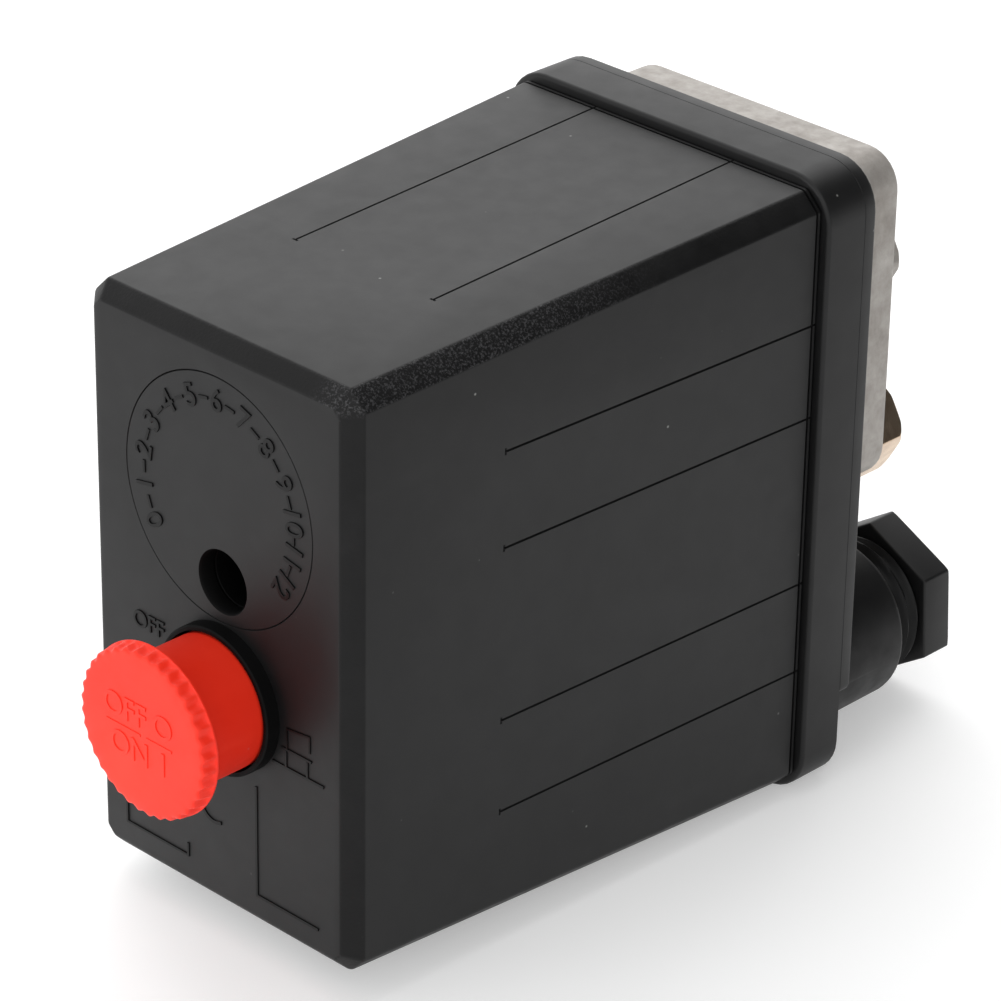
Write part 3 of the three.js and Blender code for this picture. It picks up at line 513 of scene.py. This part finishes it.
def cover_shell():
    """Hollow cover with its flange, knob collar and boss, screw hole, dial line and side grooves."""
    shell = cover_body()
    combine(shell, "DIFFERENCE", *flange_lines())
    combine(shell, "UNION", flange_ring())
    wall, corner = COVER["wall"], COVER["corner"]
    cavity = [cover_ring(y, y, wall, corner) for y in (wall, FLANGE["back"] + PAST)]
    combine(shell, "DIFFERENCE", from_bmesh("cavity", skin(cavity)))
    hole = KNOB["stem"] + KNOB["play"]
    rim, tip, edge = hole + KNOB["collar_wall"], -KNOB["collar"], KNOB["collar_edge"]
    boss_end = wall + KNOB["boss_length"]
    boss = bar(KNOB["x"], KNOB["z"], hole + KNOB["boss_wall"], wall - PAST, boss_end, 64)
    collar = turned(KNOB["x"], KNOB["z"], [(rim - edge, tip), (rim, tip + edge), (rim, wall - PAST)], 72)
    # the boss and collar take the much darker black: painted shade around the knob stem
    combine(shell, "UNION", *(coated(tool, *COVER_COATS) for tool in (boss, collar)))
    well = turned(WELL["x"], WELL["z"], [(WELL["radius"] + 0.5, -0.3), (WELL["radius"] + 0.15, 0.05),
                                         (WELL["radius"], 0.3), (WELL["radius"], wall + PAST)], 56)
    bore = bar(KNOB["x"], KNOB["z"], hole, tip - PAST, boss_end + PAST, 72)
    # the well and the knob bore leave the much darker black on their walls: painted shade inside the holes
    combine(
        shell, "DIFFERENCE",
        coated(well, *COVER_COATS),
        coated(bore, *COVER_COATS),
        ring_groove(DIAL["x"], DIAL["z"], DIAL["radius"], DIAL["line"], DIAL["line"]),
        *groove_tools(),
    )
    return settle(smooth(shell), "cover", "black_plastic", "cover")


def stroke(points, width, y0, y1):
    """A raised line of square section along (x, z) points, mitred at its corners."""
    ways = [(Vector(b) - Vector(a)).normalized() for a, b in zip(points, points[1:])]
    middle = [Vector(point) for point in points]
    middle[0] -= ways[0] * width / 2
    middle[-1] += ways[-1] * width / 2
    left, right = [], []
    for point, before, after in zip(middle, ways[:1] + ways, ways + ways[-1:]):
        mitre = (before + after).normalized().orthogonal()
        mitre *= width / 2 / mitre.dot(before.orthogonal())
        left.append(point + mitre)
        right.append(point - mitre)
    outline = left + right[::-1]
    return from_bmesh("stroke", skin([outline_at(y0, outline), outline_at(y1, outline)]))


def lettering(text, x, z, height, y_face, rise, turn=0.0):
    """Raised lettering on a face that looks along -Y, centred on (x, z); turn is clockwise seen from the front."""
    curve = bpy.data.curves.new("text", "FONT")
    curve.body = text
    curve.align_x = "CENTER"
    curve.align_y = "CENTER"
    curve.size = height * FONT["size_per_height"] * MM
    curve.extrude = rise / 2 * MM
    curve.bevel_depth = FONT["edge"] * MM
    curve.bevel_resolution = 1
    curve.offset = FONT["weight"] * MM
    piece = bpy.data.objects.new("text", curve)
    bpy.context.scene.collection.objects.link(piece)
    piece.matrix_world = (Matrix.Translation(at(x, y_face - rise / 2, z)) @ Matrix.Rotation(turn, 4, "Y")
                          @ Matrix.Rotation(math.pi / 2, 4, "X"))
    bpy.context.view_layer.update()
    mesh = bpy.data.meshes.new_from_object(piece.evaluated_get(bpy.context.evaluated_depsgraph_get()))
    mesh.transform(piece.matrix_world)
    bpy.data.objects.remove(piece)
    return new_object("letters", mesh)


def scale_marks():
    """The dial's numbers, with a dash between each two."""
    marks = []
    steps = 2 * DIAL["numbers"]
    first, last = math.radians(-DIAL["sweep"]), math.radians(DIAL["sweep"])
    for i in range(steps + 1):
        turn = first + (last - first) * i / steps
        x, z = DIAL["x"] + DIAL["text"] * math.sin(turn), DIAL["z"] + DIAL["text"] * math.cos(turn)
        if i % 2 == 0:
            marks.append(lettering(str(i // 2), x, z, DIAL["height"], 0, MARKS["rise"], turn))
        else:
            reach = DIAL["dash"]
            ends = [(x + s * reach * math.cos(turn), z - s * reach * math.sin(turn)) for s in (-1, 1)]
            marks.append(stroke(ends, DIAL["dash_width"], -MARKS["rise"], MARKS["root"]))
    return marks


def face_marks():
    """Raised marks on the front face: a plain scale round the circle, OFF, corner lines, a symbol and an arc."""
    marks = scale_marks()
    marks.append(lettering("OFF", *MARKS["off"], MARKS["off_height"], 0, MARKS["rise"]))
    x, z, radius = MARKS["arc"]
    arc = [(x + radius * math.cos(a), z + radius * math.sin(a)) for a in map(math.radians, range(175, 300, 15))]
    for width, points in (*MARK_LINES, (MARKS["arc_width"], arc)):
        marks.append(stroke(points, width, -MARKS["rise"], MARKS["root"]))
    # the raised marks take the darker mark black: painted shade
    piece = merge("cover_marks", marks, MARK)
    return settle(smooth(piece), "cover", "black_plastic")


# ---------------------------------------------------------------- knob
def knob_cap_ring(y, base, scoop, sides_per_flute=8):
    """One ring round the cap; scoop is how deep the flutes are there."""
    sides = KNOB["flutes"] * sides_per_flute
    ring = []
    for i in range(sides):
        phase = math.cos(2 * math.pi * i / sides_per_flute)
        radius = base - scoop * (0.5 + 0.5 * phase) ** 0.8
        angle = 2 * math.pi * i / sides
        ring.append(at(KNOB["x"] + radius * math.cos(angle), y, KNOB["z"] + radius * math.sin(angle)))
    return ring


def knob_piece():
    """Fluted cap whose scoops die out at its back lip, its stem, snap ring groove and push rod, in one skin."""
    face, cap, stem = KNOB_FACE + KNOB["inset"], KNOB["cap"], KNOB["stem"]
    back = KNOB_FACE + KNOB["depth"]
    profile = [  # y, radius, flute depth
        (face, 4.0, 0), (face, 8.8, 0), (face + 0.01, cap - 0.85, 0.06), (face + 0.05, cap - 0.5, 0.24),
        (face + 0.16, cap - 0.28, 0.34), (face + 0.34, cap - 0.16, 0.40), (face + 0.8, cap - 0.1, 0.42),
        (face + 1.35, cap - 0.05, 0.40), (face + 1.75, cap, 0.34), (face + 1.9, cap + 0.03, 0.22),
        (face + 1.98, cap + 0.05, 0.06), (face + 2.0, cap + 0.05, 0), (back - 0.06, cap + 0.05, 0),
        (back, cap - 0.05, 0),
        (back + 0.02, stem + 0.5, 0), (back + 0.16, stem + 0.16, 0), (back + 0.5, stem, 0),
        (5.4, stem, 0), (5.45, stem - 0.9, 0), (6.85, stem - 0.9, 0), (6.9, stem, 0), (8.8, stem, 0),
        (9.0, stem - 0.2, 0), (9.0, 1.6, 0), (9.3, 1.3, 0), (44.2, 1.3, 0), (44.9, 0.6, 0),
    ]
    knob = from_bmesh("knob_body", skin([knob_cap_ring(y, radius, scoop) for y, radius, scoop in profile]), RED)
    return settle(smooth(knob, 40), "knob", "red_plastic", "knob")


def knob_marks():
    """Raised OFF O over ON I on the cap, with a broken line between them."""
    rise, height, face, root, width = 0.09, 3.1, KNOB_FACE + KNOB["inset"], 0.1, 0.3
    x, z = KNOB["x"] - 0.8, KNOB["z"]
    words = (("OFF", -1.9, 2.3), ("O", 4.6, 2.3), ("ON", -1.2, -2.6), ("I", 4.6, -2.6))
    pieces = [lettering(word, x + right, z + up, height, face, rise) for word, right, up in words]
    for start, end in ((-5.0, 0.6), (1.9, 6.0)):
        pieces.append(stroke([(x + start, z - 0.1), (x + end, z - 0.1)], width, face - rise, face + root))
    return settle(smooth(merge("knob_marks", pieces, RED)), "knob", "red_plastic")


# ---------------------------------------------------------------- base tray with its gland spouts
def thread_rings(x, z, crest, y0, y1, pitch, sides=72, per_turn=9):
    """Rings of one helical thread that fades out at both ends."""
    depth = GLAND["thread_depth"]
    fade_rate, flank, root = 2.2, 2.4, 0.1  # fade per turn from an end, steepness of a flank, flat at the root
    rows = round((y1 - y0) / pitch * per_turn)
    rings = []
    for row in range(rows + 1):
        y = y0 + (y1 - y0) * row / rows
        fade = min(1.0, fade_rate * min(row, rows - row) / per_turn)
        ring = []
        for i in range(sides):
            phase = ((y - y0) / pitch - i / sides) % 1.0
            tooth = max(0.0, min(1.0, flank * (0.5 - abs(phase - 0.5)) - root))
            radius = crest - depth * (1 - fade * tooth)
            angle = 2 * math.pi * i / sides
            ring.append(at(x + radius * math.cos(angle), y, z + radius * math.sin(angle)))
        rings.append(ring)
    return rings


def gland_spout(x):
    """Solid spout with a threaded neck in front of the nut and a smaller thread inside it, in one skin."""
    z, spout, end = GLAND["z"], GLAND["spout"], GLAND["spout_end"]
    root, step = TRAY["front"] + 0.2, GLAND["nut_front"] - 0.2
    barrel = ((spout, root), (spout, end - 0.8), (spout - 0.08, end - 0.45), (spout - 0.3, end - 0.16),
              (spout - 0.8, end))  # radius, y; rounded at its end
    rings = [outline_at(y, circle(x, z, radius, 72)) for radius, y in barrel]
    rings += thread_rings(x, z, GLAND["neck"], end + SEAM, step, GLAND["neck_pitch"])
    rings += thread_rings(x, z, GLAND["thread"], step + SEAM, GLAND["end"], GLAND["thread_pitch"])
    return from_bmesh("spout", skin(rings))


def plate_places():
    return [(sx * PLATE["screw"], PLATE["z"] + sz * PLATE["screw"]) for sx in (-1, 1) for sz in (-1, 1)]


def base_tray():
    """Lip and foot behind the flange, rim inside the cover, two gland spouts, and the holes through them."""
    front, back, edge = TRAY["front"], TRAY["back"], TRAY["edge"]
    lip_half = (FLANGE_HALF_Z - TRAY["lip_bottom"]) / 2

    def lip(inset):
        return rounded(FLANGE["half_x"] - inset, lip_half - inset, FLANGE["radius"] - inset,
                       FLANGE_HALF_Z - lip_half, low=TRAY["lip_corner"] - inset)

    profile = ((front, 0.04), (front + 0.04, 0), (back - 0.4, 0), (back - 0.12, 0.12), (back, 0.4))
    coats = (BLACK, BLACK_MATT)
    tray = from_bmesh("base_tray", skin([outline_at(y, lip(inset)) for y, inset in profile]), *coats)
    foot = bevel(block(-TRAY["foot_x"], TRAY["foot_x"], front, back, TRAY["foot_bottom"], TRAY["foot_top"]), edge, 2)

    def rim(inset, y0, y1):
        half_x, half_z = cover_half(TRAY["rim_front"])
        step = COVER["wall"] + TRAY["rim_gap"] + inset
        outline = chamfered(half_x - step, half_z - step, COVER["corner"])
        return from_bmesh("rim", skin([outline_at(y0, outline), outline_at(y1, outline)]))

    wall = combine(bevel(rim(0, TRAY["rim_front"], front + PAST), edge, 2), "DIFFERENCE",
                   rim(TRAY["rim_wall"], TRAY["rim_front"] - PAST, front))
    spouts = [gland_spout(x) for x in (-GLAND["x"], GLAND["x"])]
    combine(tray, "UNION", *(coated(tool, *coats) for tool in (foot, wall, *spouts)))
    near, far = front - PAST, back + PAST
    holes = [bar(x, GLAND["z"], GLAND["bore"], near, GLAND["end"] + PAST, 56) for x in (-GLAND["x"], GLAND["x"])]
    holes += [bar(x, z, PLATE["screw_hole"], near, far, 24) for x, z in plate_places()]
    holes.append(bar(0, PLATE["z"], TRAY["plunger_hole"], near, far, 56))
    holes.append(bar(UNLOADER["x"], UNLOADER["z"], UNLOADER["pin_hole"], near, far, 24))
    combine(tray, "DIFFERENCE", *holes)
    return settle(smooth(tray), "base", "black_plastic", "base_housing")


def recoat(piece, name, material):
    """Names a finished piece and leaves it one material."""
    piece.name = name
    piece.data.materials.clear()
    piece.data.materials.append(material)
    return piece


def gland_nut(side, x):
    """Hexagon nut with a crown at its back, a bore over the thread and a rounded cable mouth."""
    z, turn, front, crown_radius = GLAND["z"], GLAND["turn"] + math.pi / 6, GLAND["nut_front"], GLAND["crown"]
    nut = bevel(hexagon(x, z, GLAND["flats"], front, NUT_BACK, turn), 0.3, 3)
    crown = turned(x, z, [(crown_radius, front - PAST), (crown_radius, NUT_BACK - 1.2), (11.0, NUT_BACK - 0.25),
                          (9.6, NUT_BACK + 0.1)], 72)  # radius, y
    combine(nut, "INTERSECT", crown)
    mouth = GLAND["cable"]
    combine(
        nut, "DIFFERENCE",
        bar(x, z, GLAND["thread"] + GLAND["thread_play"], front - PAST, GLAND["end"] + 0.3, 56),
        turned(x, z, [(mouth, front), (mouth, NUT_BACK - 0.8), (mouth + 0.25, NUT_BACK - 0.25),
                      (mouth + 0.9, NUT_BACK + 0.3)], 56),
    )
    recoat(nut, f"gland_nut_{side}_hex", BLACK)
    return settle(smooth(nut), f"gland_nut_{side}", "black_plastic", f"gland_nut_{side}")


# ---------------------------------------------------------------- port plate
def port_casting():
    """Plate with the unloader's ear, the collar and hexagon of the pipe port, screw holes and inner chamber."""
    front, back, z = PLATE["front"], PLATE["back"], PLATE["z"]
    outline = rounded(PLATE["half_x"], PLATE["half_z"], PLATE["radius"], z)
    plate = bevel(from_bmesh("port_casting", skin([outline_at(front, outline), outline_at(back, outline)]), CAST),
                  PLATE["edge"], 4, 40)
    corner, end, collar = PORT["flats"] / math.sqrt(3), PORT["end"], PORT["collar"]
    hexagon_port = bevel(hexagon(0, z, PORT["flats"], back - PAST, end), PORT["edge"], 3)
    crown = [(corner, back - 2 * PAST), (corner, end - 1.4), (corner - 0.25, end - 0.7), (corner - 0.8, end - 0.2),
             (corner - 1.6, end + 0.02)]
    combine(hexagon_port, "INTERSECT", turned(0, z, crown, 72))
    ear, edge = UNLOADER["ear"], PLATE["edge"]
    combine(
        plate, "UNION",
        turned(UNLOADER["x"], UNLOADER["z"], [(ear, front), (ear, back - edge), (ear - 0.26, back - 0.26),
                                              (ear - edge, back)], 56),
        turned(0, z, [(collar + 0.6, back - PAST), (collar + 0.6, back), (collar + 0.15, back + 0.25),
                      (collar, back + 0.6), (collar, back + 1.1), (collar - 0.4, back + 1.5)], 64),
        hexagon_port,
    )
    shank, head = PLATE["screw_hole"], PLATE["screw_head"]
    screw_ways = [turned(x, z_screw, [(shank, front - PAST), (shank, back - 2.6), (head, back - 2.59),
                                      (head, back - 0.2), (head + 0.4, back + 0.4)], 32)
                  for x, z_screw in plate_places()]
    bore = PORT["bore"]
    combine(
        plate, "DIFFERENCE",
        *screw_ways,
        bar(0, z, PLATE["diaphragm"], front - PAST, front + PLATE["diaphragm_depth"], 56),
        bar(0, z, PLATE["chamber"], front, front + PLATE["chamber_depth"], 56),
        turned(0, z, [(bore, front), (bore, end - 0.8), (bore + PORT["mouth"], end + 0.3)], 48),
        bar(UNLOADER["x"], UNLOADER["z"], UNLOADER["pin_hole"], front - PAST, UNLOADER["pin_hole_end"], 24),
        bar(UNLOADER["x"], UNLOADER["z"], UNLOADER["seat"], UNLOADER["seat_front"], back + PAST, 40),
    )
    return settle(smooth(plate), "base", "cast_alloy", "port_plate")


def unloader_nut():
    """Compression nut of the unloader, its corners rounded down to the hose end."""
    x, z, front, back = UNLOADER["x"], UNLOADER["z"], UNLOADER["nut_front"], UNLOADER["nut_back"]
    nut = bevel(hexagon(x, z, UNLOADER["nut_flats"], front, back), 0.2, 2)
    crown = [(6.0, front - 0.1), (7.05, front + 0.9), (7.05, back - 1.6), (6.8, back - 0.8), (6.35, back - 0.25),
             (5.7, back + 0.02)]
    combine(nut, "INTERSECT", turned(x, z, crown, 64))
    combine(nut, "DIFFERENCE", bar(x, z, UNLOADER["nose"], front - PAST, UNLOADER["nose_end"], 40),
            bar(x, z, UNLOADER["tube"], front, back + PAST, 40))
    recoat(nut, "unloader_nut_hex", BRASS)
    return settle(smooth(nut, 20), "base", "brass", "unloader_nut")


# ---------------------------------------------------------------- CAD solids that keep their shape
DRESS = {"weld_mm": 0.001, "flat_degrees": 0.5, "edge": 0.15, "edge_segments": 2, "edge_degrees": 28, "weight": 80}


def dress(node, material):
    """Gives a CAD solid its material and softens its sharp edges."""
    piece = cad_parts[node]
    piece.data.materials.clear()
    piece.data.materials.append(material)
    piece.data.polygons.foreach_set("use_smooth", [True] * len(piece.data.polygons))
    weld = piece.modifiers.new("weld", "WELD")
    weld.merge_threshold = DRESS["weld_mm"] * MM
    flat = piece.modifiers.new("flat", "DECIMATE")
    flat.decimate_type = "DISSOLVE"
    flat.angle_limit = math.radians(DRESS["flat_degrees"])
    edge = piece.modifiers.new("edge", "BEVEL")
    edge.width = DRESS["edge"] * MM
    edge.segments = DRESS["edge_segments"]
    edge.limit_method = "ANGLE"
    edge.angle_limit = math.radians(DRESS["edge_degrees"])
    even = piece.modifiers.new("even", "WEIGHTED_NORMAL")
    even.weight = DRESS["weight"]


cover_shell()
face_marks()
knob_piece()
knob_marks()
base_tray()
gland_nut("left", -GLAND["x"])
gland_nut("right", GLAND["x"])
port_casting()
unloader_nut()

FOUR = range(1, 5)
LOOKS = {
    STEEL: [*(f"plate_screw_{i}" for i in FOUR), "unloader_pin", "frame_bracket", "cover_nut", "rocker",
            "rocker_pin", "range_screw", "spring_nut", "trip_lever", "trip_pin",
            *(f"terminal_screw_{i}" for i in FOUR), "cover_screw"],
    SPRING: ["range_spring", "knob_clip"],
    BRASS: ["unloader_body", "plunger", "earth_screw", *(f"terminal_{i}" for i in FOUR),
            "contact_bridge_left", "contact_bridge_right"],
    RUBBER: ["diaphragm", "gland_seal_left", "gland_seal_right"],
    BROWN: ["contact_block", "contact_carrier"],
    # the screw sleeve seen down the well takes the much darker black: painted shade
    BLACK_SHADE: ["screw_sleeve"],
}
for material, nodes in LOOKS.items():
    for node in nodes:
        dress(node, material)


# ---------------------------------------------------------------- floor, light and camera
FLOOR = {"half_m": 3.0, "z_m": -0.00005, "glow": 0.35}  # just clear of the flange, so no two faces share the plane
MIDDLE = (0, 0, 0.04)  # what the lamps look at, m
LAMPS = (  # name, place in m, size in m, power in W
    ("top_softbox", (-0.25, 0.25, 0.9), (0.9, 0.9), 3),
    ("front_softbox", (-0.3, -1.2, 0.25), (0.7, 0.5), 3),
    ("back_softbox", (-0.75, 0.78, 0.6), (1.3, 1.0), 3.8),
    ("right_fill", (0.9, -0.7, 0.9), (0.6, 0.6), 2),
)
SKY_DARK_SIDE = (0.60, 0.65, 0.47)  # the sky is white except for a dim lobe round this direction
SKY_STOPS = ((0.52, 1.0), (0.84, 0.08))  # cosine from the lobe's middle, brightness
VIEW = {"azimuth": 44.156, "elevation": 27.53, "roll": 0.943, "target": (0.004436, -0.00515, 0.04634),
        "distance": 0.5673, "sensor": 36, "lens": 168.05}  # the photograph's view: degrees, metres; lens in mm


def floor():
    look = Look("floor", Specular_IOR_Level=0.2)
    look.colour(look.ramp(look.noise(400, detail=1), (0.3, (0.74, 0.74, 0.74)), (0.7, (0.76, 0.76, 0.76))))
    look.rough(look.ramp(look.noise(300, detail=1), (0.3, 0.75), (0.7, 0.85)))
    look.shader.inputs["Emission Color"].default_value = (1, 1, 1, 1)
    look.shader.inputs["Emission Strength"].default_value = FLOOR["glow"]  # keeps the shadow faint
    half, z = FLOOR["half_m"], FLOOR["z_m"]
    bm = bmesh.new()
    bm.faces.new([bm.verts.new((x, y, z)) for x, y in ((-half, -half), (half, -half), (half, half), (-half, half))])
    from_bmesh("studio_floor", bm, look.material)


def area_light(name, place, size, power):
    data = bpy.data.lights.new(name, "AREA")
    data.shape = "RECTANGLE"
    data.size, data.size_y = size
    data.energy = power
    lamp = bpy.data.objects.new(name, data)
    bpy.context.scene.collection.objects.link(lamp)
    lamp.location = place
    lamp.rotation_euler = (Vector(MIDDLE) - Vector(place)).to_track_quat("-Z", "Y").to_euler()


def sky():
    world = bpy.data.worlds.new("studio")
    world.use_nodes = True
    tree = world.node_tree
    sight = tree.nodes.new("ShaderNodeTexCoord").outputs["Generated"]
    toward = tree.nodes.new("ShaderNodeVectorMath")
    toward.operation = "DOT_PRODUCT"
    toward.inputs[1].default_value = Vector(SKY_DARK_SIDE).normalized()
    tree.links.new(sight, toward.inputs[0])
    shade = tree.nodes.new("ShaderNodeValToRGB")
    for element, (place, value) in zip(shade.color_ramp.elements, SKY_STOPS):
        element.position, element.color = place, (value, value, value, 1)
    tree.links.new(toward.outputs["Value"], shade.inputs["Fac"])
    background = tree.nodes["Background"]
    tree.links.new(shade.outputs["Color"], background.inputs["Color"])
    background.inputs["Strength"].default_value = 1.0
    bpy.context.scene.world = world


def studio():
    sky()
    for lamp in LAMPS:
        area_light(*lamp)
    bpy.context.scene.view_settings.view_transform = "Standard"


def camera():
    azimuth, elevation, roll = (math.radians(VIEW[key]) for key in ("azimuth", "elevation", "roll"))
    back = Vector((math.sin(azimuth) * math.cos(elevation), -math.cos(azimuth) * math.cos(elevation),
                   math.sin(elevation)))
    level = Vector((0, 0, 1)).cross(back).normalized()
    upright = back.cross(level)
    across = math.cos(roll) * level + math.sin(roll) * upright
    up = -math.sin(roll) * level + math.cos(roll) * upright
    data = bpy.data.cameras.new("camera")
    data.sensor_width = VIEW["sensor"]
    data.lens = VIEW["lens"]
    data.clip_start = 0.01
    eye = bpy.data.objects.new("camera", data)
    bpy.context.scene.collection.objects.link(eye)
    turn = Matrix((across, up, back)).transposed().to_4x4()
    eye.matrix_world = Matrix.Translation(Vector(VIEW["target"]) + back * VIEW["distance"]) @ turn
    bpy.context.scene.camera = eye


floor()
studio()
camera()
